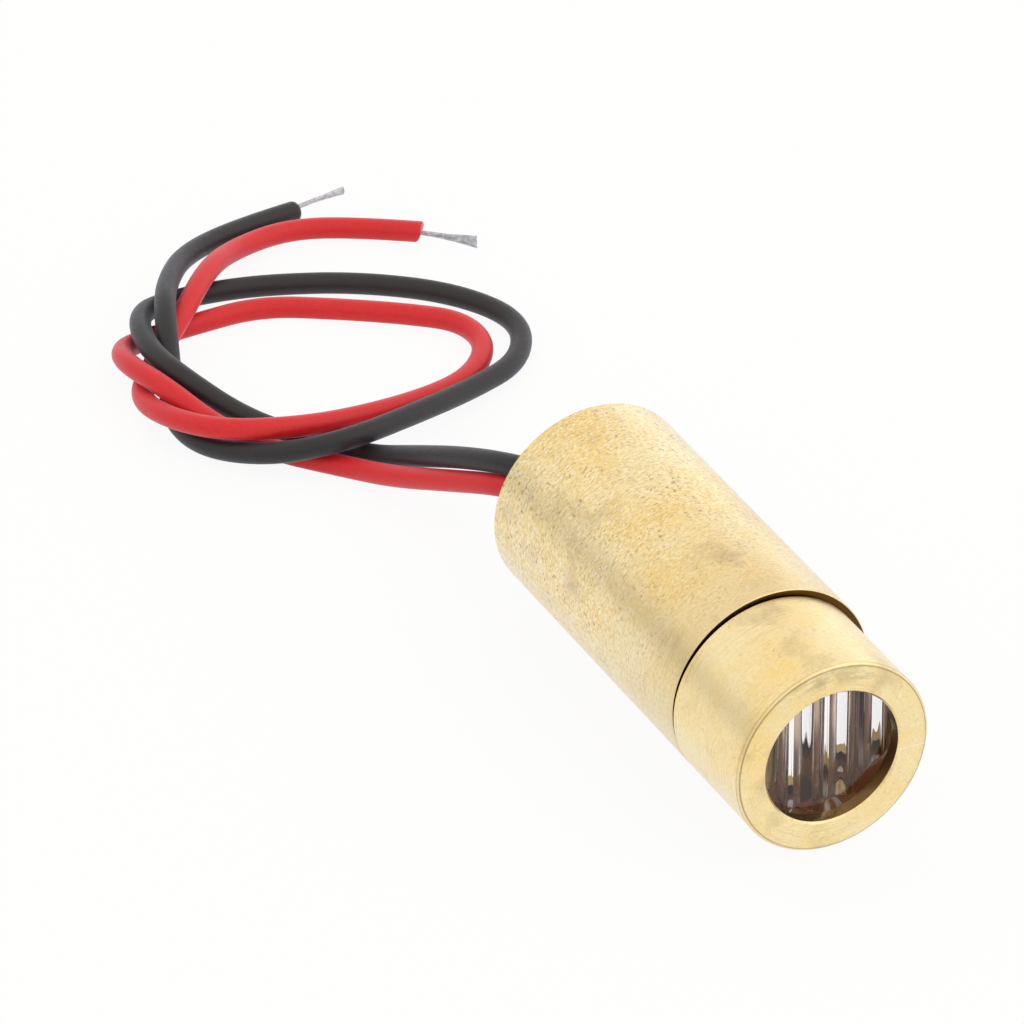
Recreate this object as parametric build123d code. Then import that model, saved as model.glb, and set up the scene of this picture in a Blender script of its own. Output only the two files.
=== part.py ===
from build123d import *
import math
import os

# Line-laser diode module lying on its side, in millimetres.
# +X is the beam direction and +Z is up. The origin is under the middle of the brass body.

# Brass body
BARREL_DIAMETER = 9.0
BARREL_WALL = 0.7
SOCKET_WALL = 0.445
HEAD_LENGTH = 5.5
JOINT_GAP = 0.1
EDGE_BREAK = 0.05
FACE_CHAMFER = 0.12
SPIGOT_WALL = 0.5
SPIGOT_LENGTH = 3.2
SPIGOT_PLAY = 0.155
SPIGOT_END_CLEARANCE = 0.3
HEAD_LEAN_ANGLE = 200.0

# Optics in the head
LIP_WIDTH = 0.4
LIP_THICKNESS = 0.65
APERTURE_CHAMFER = 0.08
LENS_CLEARANCE = 0.05
LINE_LENS_THICKNESS = 2.0
RIB_PITCH = 1.6
RIB_HEIGHT = 0.97
RIB_ROUNDNESS = 0.364
SPACER_WALL = 0.55
COLLIMATOR_RIM = 0.8
COLLIMATOR_SAG = 0.9
COLLIMATOR_REAR_SAG = 0.25
LENS_AIR_GAP = 0.4
RETAINER_LENGTH = 1.0
RETAINER_WALL = 1.0

# Laser diode package
FLANGE_DIAMETER = 5.6
FLANGE_THICKNESS = 1.2
FLANGE_NOTCH = 0.4
KEY_NOTCH_WIDTH = 1.0
CAP_RIM_DIAMETER = 4.3
CAP_RIM_THICKNESS = 0.2
CAP_DIAMETER = 3.6
CAP_HEIGHT = 2.3
CAP_WALL = 0.2
CAP_CLEARANCE = 0.1
CAP_FRONT_CLEARANCE = 0.4
WINDOW_HOLE = 1.6
WINDOW_DIAMETER = 2.6
WINDOW_THICKNESS = 0.25
DIODE_WEB = 0.8
TUNNEL_DIAMETER = 6.0
POST_WIDTH = 1.3
POST_DEPTH = 0.8
POST_LENGTH = 1.5
CHIP_WIDTH = 0.25
CHIP_THICKNESS = 0.1
CHIP_LENGTH = 0.3
MONITOR_SIZE = 0.7
MONITOR_THICKNESS = 0.2
MONITOR_HEIGHT = 0.75
PIN_DIAMETER = 0.45
PIN_CIRCLE_RADIUS = 1.0
PIN_LENGTH = 2.6
PIN_STUB = 0.5
SEAL_DIAMETER = 1.0

# Driver board
SOLDER_FILM = 0.05
BOARD_LENGTH = 5.45
BOARD_CLEARANCE = 0.5
BOARD_SETBACK = 0.6
BOARD_CORNER = 0.3
TRANSISTOR_BODY = (2.9, 1.3, 1.0)
TRANSISTOR_SPAN = 2.4
TRANSISTOR_LEG = (0.4, 0.15)
TRANSISTOR_LEG_PITCH = 0.95
TRANSISTOR_INSET = 1.25
RESISTOR_BODY = (1.0, 0.5, 0.35)
RESISTOR_INSET = 0.9
RESISTOR_PITCH = 1.4
CAPACITOR_BODY = (2.0, 1.25, 0.8)
CAPACITOR_INSET = 0.9
PART_CLEARANCE = 0.1
TERMINAL_LENGTH = 0.3
TERMINAL_RISE = 0.03
SOLDER_WALL = 0.12
PIN_SOLDER_LENGTH = 1.4

# Rear seal
POTTING_RECESS = 0.85
POTTING_THICKNESS = 1.7
POTTING_DISH = 0.25

# Leads, with the points that each one bends round behind its straight inner run
LEAD_DIAMETER = 0.95
CONDUCTOR_DIAMETER = 0.3
TAIL_START_DIAMETER = 0.2
TAIL_TIP_DIAMETER = 0.4
TAIL_LENGTH = 2.5
INNER_TAIL_LENGTH = 1.5
LEAD_STRAIGHT = 1.5
LEAD_SPREAD = 0.6
LEAD_STANDOFF = 0.105
ARC_SHARE = 0.45
BLACK_BENDS = [
    (-11.6, 0.05, 4.75), (-14.3, -1.9, 4.75),
    (-17.3, -2.75, 3.65), (-20.6, -3.3, 2.0), (-23.6, -3.9, 0.48), (-27.0, -5.4, 0.48),
    (-29.0, -7.4, 0.5), (-31.3, -9.1, 1.9), (-33.6, -9.55, 1.95), (-36.3, -8.95, 1.7),
    (-38.0, -8.05, 1.2), (-39.0, -6.6, 0.65), (-38.9, -4.4, 0.5), (-38.3, -1.6, 0.48),
    (-36.7, 2.0, 0.48), (-34.0, 5.3, 0.48), (-30.3, 6.7, 0.5), (-27.4, 5.2, 0.5),
    (-25.9, 2.0, 0.9), (-24.4, -1.6, 1.45), (-23.3, -5.1, 1.8), (-24.6, -8.0, 1.1),
    (-27.4, -9.9, 0.48), (-30.4, -10.2, 0.48), (-32.9, -8.9, 0.85), (-35.5, -7.95, 2.3),
    (-38.2, -6.5, 1.9), (-41.2, -4.4, 1.2), (-42.8, -1.1, 0.85), (-43.4, 2.2, 0.6),
]
RED_BENDS = [
    (-11.6, -0.55, 3.8), (-14.3, -2.1, 3.65),
    (-17.3, -3.2, 2.6), (-20.6, -4.3, 1.25), (-23.3, -5.2, 0.48), (-26.0, -7.5, 0.48),
    (-28.4, -8.95, 0.9), (-31.0, -10.1, 1.8), (-33.7, -10.6, 1.5), (-35.6, -10.1, 0.9),
    (-36.7, -8.6, 0.48), (-36.75, -6.2, 0.48), (-36.5, -3.0, 0.48), (-35.0, 0.1, 0.48),
    (-33.2, 2.7, 0.48), (-31.3, 4.25, 0.5), (-28.9, 4.3, 0.5), (-27.2, 2.7, 0.6),
    (-26.2, -0.2, 1.0), (-25.8, -3.8, 1.4), (-25.1, -6.9, 1.8), (-26.4, -9.5, 1.9),
    (-28.9, -10.8, 1.6), (-32.2, -10.9, 0.65), (-34.4, -9.15, 0.48), (-36.1, -6.7, 1.5),
    (-38.8, -4.5, 1.75), (-41.1, -2.2, 0.95), (-41.95, 0.9, 0.65), (-41.1, 3.7, 0.48),
    (-39.0, 6.4, 0.5),
]

# Diameters that follow from the barrel's
REAR_BORE_DIAMETER = BARREL_DIAMETER - 2 * BARREL_WALL
SOCKET_DIAMETER = BARREL_DIAMETER - 2 * SOCKET_WALL
SPIGOT_DIAMETER = SOCKET_DIAMETER - 2 * SPIGOT_PLAY
HEAD_DIAMETER = BARREL_DIAMETER - 2 * SPIGOT_PLAY
LENS_BORE_DIAMETER = SPIGOT_DIAMETER - 2 * SPIGOT_WALL
LENS_DIAMETER = LENS_BORE_DIAMETER - 2 * LENS_CLEARANCE
APERTURE_DIAMETER = LENS_BORE_DIAMETER - 2 * LIP_WIDTH
SPACER_BORE = LENS_DIAMETER - 2 * SPACER_WALL
RETAINER_BORE = LENS_BORE_DIAMETER - 2 * RETAINER_WALL
BOARD_WIDTH = REAR_BORE_DIAMETER - 2 * BOARD_CLEARANCE

# Places along the axis, from the rear face to the front face
REAR_BAY_LENGTH = POTTING_RECESS + POTTING_THICKNESS + BOARD_LENGTH + BOARD_SETBACK
DIODE_ROOM_LENGTH = FLANGE_THICKNESS + CAP_HEIGHT + CAP_FRONT_CLEARANCE
SOCKET_DEPTH = SPIGOT_LENGTH - JOINT_GAP + SPIGOT_END_CLEARANCE
BARREL_LENGTH = REAR_BAY_LENGTH + DIODE_ROOM_LENGTH + SOCKET_DEPTH
BODY_LENGTH = BARREL_LENGTH + JOINT_GAP + HEAD_LENGTH
REAR_X = -BODY_LENGTH / 2
JOINT_X = REAR_X + BARREL_LENGTH
HEAD_X = JOINT_X + JOINT_GAP
FRONT_X = HEAD_X + HEAD_LENGTH
SPIGOT_X = HEAD_X - SPIGOT_LENGTH
SOCKET_X = JOINT_X - SOCKET_DEPTH
BAY_X = REAR_X + REAR_BAY_LENGTH
SEAT_X = BAY_X + FLANGE_THICKNESS
WEB_X = SEAT_X + DIODE_WEB
PIN_X = BAY_X - PIN_LENGTH
POTTING_X = REAR_X + POTTING_RECESS
BOARD_REAR_X = POTTING_X + POTTING_THICKNESS
BOARD_FRONT_X = BAY_X - BOARD_SETBACK
LENS_SEAT_X = FRONT_X - LIP_THICKNESS
SPACER_LENGTH = COLLIMATOR_SAG + LENS_AIR_GAP
SPACER_X = LENS_SEAT_X - LINE_LENS_THICKNESS - SPACER_LENGTH
COLLIMATOR_X = SPACER_X - COLLIMATOR_RIM
RETAINER_X = COLLIMATOR_X - RETAINER_LENGTH

# Heights and the two centre lines
AXIS_Z = BARREL_DIAMETER / 2
BARREL_AXIS = Location((0, 0, AXIS_Z))
LEAN = Vector(SPIGOT_PLAY, 0, 0).rotate(Axis.Z, HEAD_LEAN_ANGLE)
HEAD_AXIS = Location((0, LEAN.X, AXIS_Z + LEAN.Y))
BOARD_TOP_Z = AXIS_Z - PIN_DIAMETER / 2 - SOLDER_FILM
BOARD_THICKNESS = PIN_CIRCLE_RADIUS - PIN_DIAMETER - 2 * SOLDER_FILM
BOARD_BOTTOM_Z = BOARD_TOP_Z - BOARD_THICKNESS
BOARD_MID_X = (BOARD_REAR_X + BOARD_FRONT_X) / 2


def turned(*outline: tuple[float, float]) -> Part:
    """A solid turned about the X axis from (place along the axis, radius) points."""
    return revolve(make_face(Polyline(*outline, close=True)), Axis.X)


def ring(start: float, end: float, outside: float, bore: float) -> Part:
    """A plain ring between two places along the X axis, from its two diameters."""
    return turned((start, bore / 2), (start, outside / 2), (end, outside / 2), (end, bore / 2))


def rod(start: float, end: float, diameter: float, y: float = 0, z: float = 0) -> Part:
    """A round bar along X between two places."""
    return Pos((start + end) / 2, y, z) * Rot(0, 90, 0) * Cylinder(diameter / 2, end - start)


def barrel() -> Part:
    """Brass tube with the head's socket, the diode's seat and the rear bay in one stepped bore."""
    outer = BARREL_DIAMETER / 2
    broken = outer - EDGE_BREAK
    socket = SOCKET_DIAMETER / 2
    tunnel = TUNNEL_DIAMETER / 2
    cap_hole = CAP_RIM_DIAMETER / 2 + CAP_CLEARANCE
    seat = FLANGE_DIAMETER / 2
    bay = REAR_BORE_DIAMETER / 2
    return BARREL_AXIS * turned(
        (REAR_X, bay), (REAR_X, broken), (REAR_X + EDGE_BREAK, outer),
        (JOINT_X - EDGE_BREAK, outer), (JOINT_X, broken), (JOINT_X, socket),
        (SOCKET_X, socket), (SOCKET_X, tunnel), (WEB_X, tunnel), (WEB_X, cap_hole),
        (SEAT_X, cap_hole), (SEAT_X, seat), (BAY_X, seat), (BAY_X, bay),
    )


def head() -> Part:
    """Brass end piece: a spigot for the barrel's socket, a bore for the optics and a lip at the aperture."""
    outer = HEAD_DIAMETER / 2
    spigot = SPIGOT_DIAMETER / 2
    bore = LENS_BORE_DIAMETER / 2
    aperture = APERTURE_DIAMETER / 2
    return HEAD_AXIS * turned(
        (SPIGOT_X, bore), (SPIGOT_X, spigot), (HEAD_X, spigot), (HEAD_X, outer - EDGE_BREAK),
        (HEAD_X + EDGE_BREAK, outer), (FRONT_X - FACE_CHAMFER, outer), (FRONT_X, outer - FACE_CHAMFER),
        (FRONT_X, aperture + APERTURE_CHAMFER), (FRONT_X - APERTURE_CHAMFER, aperture),
        (LENS_SEAT_X, aperture), (LENS_SEAT_X, bore),
    )


def rib_level(step: int) -> float:
    """Place along the axis of the lens's rear at a half pitch: a valley on the axis, then a crest."""
    rear = LENS_SEAT_X - LINE_LENS_THICKNESS
    return rear if step % 2 else rear + RIB_HEIGHT


def half_wave(step: int) -> Edge:
    """The rear's smooth line over half a pitch, level at both ends."""
    half = RIB_PITCH / 2
    pull = RIB_ROUNDNESS * half
    here, there = rib_level(step), rib_level(step + 1)
    start, end = step * half, (step + 1) * half
    return Bezier((here, start), (here, start + pull), (there, end - pull), (there, end))


def line_lens() -> Part:
    """Clear disc with a flat front and an even wave of ribs along Z all over its rear."""
    steps = math.ceil(LENS_DIAMETER / RIB_PITCH)
    side = steps * RIB_PITCH / 2
    wave = [half_wave(step) for step in range(-steps, steps)]
    front = Polyline(
        (rib_level(steps), side), (LENS_SEAT_X, side), (LENS_SEAT_X, -side), (rib_level(-steps), -side),
    )
    ribbed = extrude(make_face([*wave, front]), LENS_DIAMETER / 2, both=True)
    return HEAD_AXIS * (ribbed & rod(SPACER_X, FRONT_X, LENS_DIAMETER))


def lens_spacer() -> Part:
    """Ring that keeps the two lenses apart."""
    return HEAD_AXIS * ring(SPACER_X, SPACER_X + SPACER_LENGTH, LENS_DIAMETER, SPACER_BORE)


def collimating_lens() -> Part:
    """Clear moulded lens, strongly curved in front and slightly curved behind, in a flat rim."""
    rim = LENS_DIAMETER / 2
    front_edge = SPACER_BORE / 2 - LENS_CLEARANCE
    rear_edge = RETAINER_BORE / 2 - LENS_CLEARANCE
    front = SPACER_X
    rear = COLLIMATOR_X
    outline = [
        Line((rear - COLLIMATOR_REAR_SAG, 0), (front + COLLIMATOR_SAG, 0)),
        TangentArc((front + COLLIMATOR_SAG, 0), (front, front_edge), tangent=(0, 1)),
        Polyline((front, front_edge), (front, rim), (rear, rim), (rear, rear_edge)),
        TangentArc((rear - COLLIMATOR_REAR_SAG, 0), (rear, rear_edge), tangent=(0, 1)),
    ]
    return HEAD_AXIS * revolve(make_face(outline), Axis.X)


def lens_retainer() -> Part:
    """Ring pressed into the head's bore behind the lenses."""
    return HEAD_AXIS * ring(RETAINER_X, COLLIMATOR_X, LENS_BORE_DIAMETER, RETAINER_BORE)


def insulated_pin_places() -> list[float]:
    """Sideways places of the two pins that pass through the header in glass."""
    return [-PIN_CIRCLE_RADIUS, PIN_CIRCLE_RADIUS]


def diode_header() -> Part:
    """Package flange with two V notches, a key notch, two sealed holes and the heat-sink post."""
    radius = FLANGE_DIAMETER / 2
    body = rod(BAY_X, SEAT_X, FLANGE_DIAMETER)
    middle_x = (BAY_X + SEAT_X) / 2
    notch_side = FLANGE_NOTCH * math.sqrt(2)
    notch = Rot(45, 0, 0) * Box(FLANGE_THICKNESS, notch_side, notch_side)
    for side in (-1, 1):
        body -= Pos(middle_x, side * radius, 0) * notch
    body -= Pos(middle_x, 0, radius) * Box(FLANGE_THICKNESS, KEY_NOTCH_WIDTH, 2 * FLANGE_NOTCH)
    for y in insulated_pin_places():
        body -= rod(BAY_X, SEAT_X, SEAL_DIAMETER, y)
    post_z = -CHIP_THICKNESS / 2 - POST_DEPTH / 2
    body += Pos(SEAT_X + POST_LENGTH / 2, 0, post_z) * Box(POST_LENGTH, POST_WIDTH, POST_DEPTH)
    return BARREL_AXIS * body


def diode_cap() -> Part:
    """Drawn metal can with a weld rim and a round window hole."""
    rim = CAP_RIM_DIAMETER / 2
    outer = CAP_DIAMETER / 2
    inner = outer - CAP_WALL
    top = SEAT_X + CAP_HEIGHT
    hole = WINDOW_HOLE / 2
    return BARREL_AXIS * turned(
        (SEAT_X, inner), (SEAT_X, rim), (SEAT_X + CAP_RIM_THICKNESS, rim),
        (SEAT_X + CAP_RIM_THICKNESS, outer), (top, outer), (top, hole),
        (top - CAP_WALL, hole), (top - CAP_WALL, inner),
    )


def diode_window() -> Part:
    """Glass disc sealed inside the can's top."""
    front = SEAT_X + CAP_HEIGHT - CAP_WALL
    return BARREL_AXIS * rod(front - WINDOW_THICKNESS, front, WINDOW_DIAMETER)


def laser_chip() -> Part:
    """Emitting chip at the front end of the post, with its light on the axis."""
    place = SEAT_X + POST_LENGTH - CHIP_LENGTH / 2
    return BARREL_AXIS * Pos(place, 0, 0) * Box(CHIP_LENGTH, CHIP_WIDTH, CHIP_THICKNESS)


def monitor_photodiode() -> Part:
    """Square chip on the header, above the post."""
    place = SEAT_X + MONITOR_THICKNESS / 2
    return BARREL_AXIS * Pos(place, 0, MONITOR_HEIGHT) * Box(MONITOR_THICKNESS, MONITOR_SIZE, MONITOR_SIZE)


def case_pin() -> Part:
    """Pin welded to the rear of the header, below the board."""
    return rod(PIN_X, BAY_X, PIN_DIAMETER, 0, -PIN_CIRCLE_RADIUS)


def sealed_pins() -> list[Part]:
    """The two pins that pass through the header, above the board."""
    return [rod(PIN_X, SEAT_X + PIN_STUB, PIN_DIAMETER, y) for y in insulated_pin_places()]


def diode_pins() -> Part:
    """The package's three pins."""
    return Part(children=[BARREL_AXIS * pin for pin in (case_pin(), *sealed_pins())])


def pin_seals() -> Part:
    """Glass beads round the two insulated pins."""
    bead = ring(BAY_X, SEAT_X, SEAL_DIAMETER, PIN_DIAMETER)
    return Part(children=[BARREL_AXIS * Pos(0, y, 0) * bead for y in insulated_pin_places()])


def driver_board() -> Part:
    """Circuit board that slides between the pins."""
    outline = RectangleRounded(BOARD_FRONT_X - BOARD_REAR_X, BOARD_WIDTH, BOARD_CORNER)
    return Pos(BOARD_MID_X, 0, BOARD_BOTTOM_Z) * extrude(outline, BOARD_THICKNESS)


def driver_transistor() -> Part:
    """Three-legged moulded transistor under the board."""
    length, width, height = TRANSISTOR_BODY
    leg_width, leg_thickness = TRANSISTOR_LEG
    body = Pos(0, 0, -leg_thickness - height / 2) * Box(length, width, height)
    leg_run = TRANSISTOR_SPAN / 2
    leg = Pos(0, leg_run / 2, -leg_thickness / 2) * Box(leg_width, leg_run, leg_thickness)
    for x in (-TRANSISTOR_LEG_PITCH, TRANSISTOR_LEG_PITCH):
        body += Pos(x, 0, 0) * leg
    body += Rot(0, 0, 180) * leg
    return Pos(BOARD_MID_X, BOARD_WIDTH / 2 - TRANSISTOR_INSET, BOARD_BOTTOM_Z) * body


def chip_part(size: tuple[float, float, float]) -> Part:
    """A block-shaped part with raised metal ends, standing on z = 0."""
    length, width, height = size
    body = Pos(0, 0, height / 2) * Box(length, width, height)
    end = Box(TERMINAL_LENGTH, width + 2 * TERMINAL_RISE, height + TERMINAL_RISE)
    for side in (-1, 1):
        place = side * (length - TERMINAL_LENGTH) / 2
        body += Pos(place, 0, (height + TERMINAL_RISE) / 2) * end
    return body


def resistors() -> Part:
    """Two resistors in a row on the board's top, behind the pins' ends."""
    front_x = PIN_X - PART_CLEARANCE - RESISTOR_BODY[0] / 2
    y = RESISTOR_INSET - BOARD_WIDTH / 2
    return Part(children=[
        Pos(x, y, BOARD_TOP_Z) * chip_part(RESISTOR_BODY) for x in (front_x, front_x - RESISTOR_PITCH)
    ])


def capacitor() -> Part:
    """Capacitor on the board's top, behind the pins' ends."""
    x = PIN_X - PART_CLEARANCE - CAPACITOR_BODY[0] / 2
    y = BOARD_WIDTH / 2 - CAPACITOR_INSET
    return Pos(x, y, BOARD_TOP_Z) * chip_part(CAPACITOR_BODY)


def joint_above(start: float, end: float, y: float, wire: float, face_z: float, wire_z: float) -> Part:
    """Solder over a wire along the board: a half round on the board's face, cut out for the wire."""
    reach = abs(wire_z - face_z) + wire / 2 + SOLDER_WALL
    side = 1 if wire_z > face_z else -1
    room = Pos((start + end) / 2, y, face_z + side * reach / 2) * Box(end - start, 2 * reach, reach)
    return (rod(start, end, 2 * reach, y, face_z) & room) - rod(start, end, wire, y, wire_z)


def pin_solder() -> Part:
    """Solder joints between the diode's pins and the board."""
    start = PIN_X
    end = PIN_X + PIN_SOLDER_LENGTH
    joints = [joint_above(start, end, y, PIN_DIAMETER, BOARD_TOP_Z, AXIS_Z) for y in insulated_pin_places()]
    joints.append(joint_above(start, end, 0, PIN_DIAMETER, BOARD_BOTTOM_Z, AXIS_Z - PIN_CIRCLE_RADIUS))
    return Part(children=joints)


def inner_run(y: float, z: float) -> list[tuple[float, float, float]]:
    """A lead's straight start, from its inner end at the board's rear edge into the resin."""
    return [(BOARD_REAR_X, y, z), (BOARD_REAR_X - LEAD_STRAIGHT, y, z)]


def black_route() -> list[tuple[float, float, float]]:
    """All points of the black lead, which starts above the board."""
    wire_z = BOARD_TOP_Z + LEAD_STANDOFF + CONDUCTOR_DIAMETER / 2
    return inner_run(LEAD_SPREAD / 2, wire_z) + BLACK_BENDS


def red_route() -> list[tuple[float, float, float]]:
    """All points of the red lead, which starts below the board."""
    wire_z = BOARD_BOTTOM_Z - LEAD_STANDOFF - CONDUCTOR_DIAMETER / 2
    return inner_run(-LEAD_SPREAD / 2, wire_z) + RED_BENDS


def inner_tail(route: list[tuple[float, float, float]]) -> Part:
    """Bared strands that run from a lead's inner end along the board."""
    x, y, z = route[0]
    return rod(x, x + INNER_TAIL_LENGTH, CONDUCTOR_DIAMETER, y, z)


def lead_solder() -> Part:
    """Solder joints between the leads and the board."""
    joints = []
    for route, face_z in ((black_route(), BOARD_TOP_Z), (red_route(), BOARD_BOTTOM_Z)):
        x, y, z = route[0]
        joints.append(joint_above(x, x + INNER_TAIL_LENGTH, y, CONDUCTOR_DIAMETER, face_z, z))
    return Part(children=joints)


def lead_path(route: list[tuple[float, float, float]]) -> Wire:
    """Straight runs joined by the largest tangent arcs that fit, with the arcs' radii printed."""
    corners = [Vector(*point) for point in route]
    radii = []
    for before, corner, after in zip(corners, corners[1:], corners[2:]):
        arriving = corner - before
        leaving = after - corner
        half_turn = math.radians(arriving.get_angle(leaving)) / 2
        radii.append(ARC_SHARE * min(arriving.length, leaving.length) / math.tan(half_turn))
    print("lead radii", [round(radius, 1) for radius in radii])
    return FilletPolyline(*corners, radius=radii)


def lead(route: list[tuple[float, float, float]]) -> Part:
    """Insulated lead along its route."""
    path = lead_path(route)
    section = Plane(origin=path @ 0, z_dir=path % 0) * Circle(LEAD_DIAMETER / 2)
    solid = sweep(section, path=path)
    print("lead length", round(path.length, 2), "volume", round(solid.volume, 3),
          "section by length", round(path.length * section.area, 3))
    return solid


def conductor(route: list[tuple[float, float, float]]) -> Part:
    """Bared strands at both ends of a lead: a straight inner end and an outer tail that spreads."""
    end = Vector(*route[-1])
    way = (end - Vector(*route[-2])).normalized()
    tail = Cone(TAIL_START_DIAMETER / 2, TAIL_TIP_DIAMETER / 2, TAIL_LENGTH)
    outer_tail = Plane(origin=end + way * (TAIL_LENGTH / 2), z_dir=way) * tail
    return Part(children=[inner_tail(route), outer_tail])


def rear_potting() -> Part:
    """Resin that closes the rear bore round the leads, dished at its rear face."""
    radius = REAR_BORE_DIAMETER / 2
    bottom = POTTING_X + POTTING_DISH
    outline = [
        Line((BOARD_REAR_X, 0), (BOARD_REAR_X, radius)),
        Line((BOARD_REAR_X, radius), (POTTING_X, radius)),
        TangentArc((bottom, 0), (POTTING_X, radius), tangent=(0, 1)),
        Line((bottom, 0), (BOARD_REAR_X, 0)),
    ]
    plug = BARREL_AXIS * revolve(make_face(outline), Axis.X)
    for route in (black_route(), red_route()):
        plug -= lead(route)
    return plug


PIECES = {
    "barrel": barrel,
    "head": head,
    "line_lens": line_lens,
    "lens_spacer": lens_spacer,
    "collimating_lens": collimating_lens,
    "lens_retainer": lens_retainer,
    "diode_header": diode_header,
    "diode_cap": diode_cap,
    "diode_window": diode_window,
    "laser_chip": laser_chip,
    "monitor_photodiode": monitor_photodiode,
    "diode_pins": diode_pins,
    "pin_seals": pin_seals,
    "driver_board": driver_board,
    "driver_transistor": driver_transistor,
    "resistors": resistors,
    "capacitor": capacitor,
    "pin_solder": pin_solder,
    "lead_solder": lead_solder,
    "rear_potting": rear_potting,
    "black_lead": lambda: lead(black_route()),
    "red_lead": lambda: lead(red_route()),
    "black_conductor": lambda: conductor(black_route()),
    "red_conductor": lambda: conductor(red_route()),
}

os.makedirs("parts", exist_ok=True)
for name, make in PIECES.items():
    export_step(make(), f"parts/{name}.step")
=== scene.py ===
import logging
import math
from collections.abc import Sequence
from dataclasses import dataclass
from enum import Enum
from functools import partial

import bmesh
import bpy
from mathutils import Matrix, Vector


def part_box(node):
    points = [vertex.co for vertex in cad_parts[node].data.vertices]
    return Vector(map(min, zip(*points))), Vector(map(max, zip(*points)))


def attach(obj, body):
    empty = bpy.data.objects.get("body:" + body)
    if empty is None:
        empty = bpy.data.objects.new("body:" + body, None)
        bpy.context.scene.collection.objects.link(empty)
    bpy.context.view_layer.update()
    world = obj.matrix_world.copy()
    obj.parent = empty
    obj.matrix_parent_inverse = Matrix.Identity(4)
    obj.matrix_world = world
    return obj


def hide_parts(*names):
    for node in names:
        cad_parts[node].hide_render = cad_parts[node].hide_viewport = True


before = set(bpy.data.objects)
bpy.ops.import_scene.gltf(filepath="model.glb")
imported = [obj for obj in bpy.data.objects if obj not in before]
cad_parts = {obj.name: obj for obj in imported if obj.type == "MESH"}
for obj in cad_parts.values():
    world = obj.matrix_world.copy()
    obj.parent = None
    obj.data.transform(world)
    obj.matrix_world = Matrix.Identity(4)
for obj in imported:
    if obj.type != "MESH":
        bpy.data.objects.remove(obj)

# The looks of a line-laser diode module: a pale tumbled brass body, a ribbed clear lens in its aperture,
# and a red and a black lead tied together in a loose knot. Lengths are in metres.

LOG = logging.getLogger("scene")
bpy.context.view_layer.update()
MM = 0.001
PER_MM = 1000.0
ROOT = "root"

# How fast brass patterns run inwards over an end face, against their run along the bar; a slanted edge
# would show stripes with 1 or -1
FACE_STRETCH = -1.3
# Distance in noise space between the layers of a pattern
LAYER_STEP = 7.3
# Finer octaves in the noise of grains, and of broad patches
GRAIN_DETAIL = 2.0
PATCH_DETAIL = 3.0
# Angle over which an edge of a turned piece looks sharp
TURNED_SHARP_DEGREES = 30.0

# Numbered sockets of the Mix node: its share, then two colours and their mix, then two numbers and theirs
SHARE = 0
FIRST_COLOUR, SECOND_COLOUR, MIXED_COLOUR = 6, 7, 2
FIRST_NUMBER, SECOND_NUMBER, MIXED_NUMBER = 2, 3, 0

Place = tuple[float, float, float]
Socket = bpy.types.NodeSocket
Input = Socket | float | tuple

# Points that the leads bend round, in the order in which they leave the resin
BLACK_ROUTE: list[Place] = [
    (-0.0082, 0.0003, 0.00448), (-0.0097, 0.0003, 0.00448), (-0.0116, 0.00005, 0.00475),
    (-0.0143, -0.0019, 0.00475), (-0.0173, -0.00275, 0.00365), (-0.0206, -0.0033, 0.0020),
    (-0.0236, -0.0039, 0.00048), (-0.0261, -0.0058, 0.00048), (-0.0287, -0.0075, 0.0006),
    (-0.0310, -0.0092, 0.0018), (-0.0333, -0.0096, 0.0019), (-0.03565, -0.00912, 0.00172),
    (-0.0374, -0.0082, 0.00131), (-0.0387, -0.0067, 0.00065), (-0.0389, -0.0044, 0.0005),
    (-0.0383, -0.0016, 0.00048), (-0.0367, 0.0020, 0.00048), (-0.0340, 0.0053, 0.00048),
    (-0.0306, 0.00685, 0.0005), (-0.0276, 0.0053, 0.0005), (-0.0259, 0.0020, 0.0009),
    (-0.0244, -0.0016, 0.00145), (-0.0233, -0.0051, 0.0018), (-0.0246, -0.0080, 0.0011),
    (-0.0274, -0.0100, 0.00048), (-0.0303, -0.0102, 0.00048), (-0.0329, -0.0089, 0.00085),
    (-0.0355, -0.00798, 0.00233), (-0.03825, -0.0066, 0.00195), (-0.0412, -0.0044, 0.0012),
    (-0.0428, -0.0011, 0.00075), (-0.0434, 0.0022, 0.00052),
]
RED_ROUTE: list[Place] = [
    (-0.0082, -0.0003, 0.00352), (-0.0097, -0.0003, 0.00352), (-0.0116, -0.0005, 0.0039),
    (-0.0143, -0.0022, 0.0038), (-0.0173, -0.0032, 0.0026), (-0.0206, -0.0043, 0.00125),
    (-0.0233, -0.0052, 0.00048), (-0.0260, -0.0075, 0.00048), (-0.0281, -0.00905, 0.0009),
    (-0.0307, -0.01022, 0.0018), (-0.0335, -0.0107, 0.00153), (-0.0356, -0.0101, 0.0009),
    (-0.03655, -0.0086, 0.00048), (-0.03675, -0.0062, 0.00048), (-0.03685, -0.0028, 0.00048),
    (-0.0351, 0.00015, 0.00048), (-0.0333, 0.00275, 0.00048), (-0.0317, 0.0045, 0.0005),
    (-0.0294, 0.0046, 0.0005), (-0.0273, 0.0027, 0.00052), (-0.02615, -0.00022, 0.00085),
    (-0.02535, -0.0040, 0.0014), (-0.0253, -0.0068, 0.00178), (-0.0264, -0.0095, 0.0018),
    (-0.0288, -0.01082, 0.0014), (-0.0321, -0.01088, 0.0006), (-0.0344, -0.00915, 0.00048),
    (-0.0362, -0.0068, 0.0015), (-0.0388, -0.0044, 0.00175), (-0.0410, -0.0021, 0.00095),
    (-0.04195, 0.0009, 0.00065), (-0.0411, 0.0037, 0.0005), (-0.03912, 0.00625, 0.0006),
]

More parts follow.
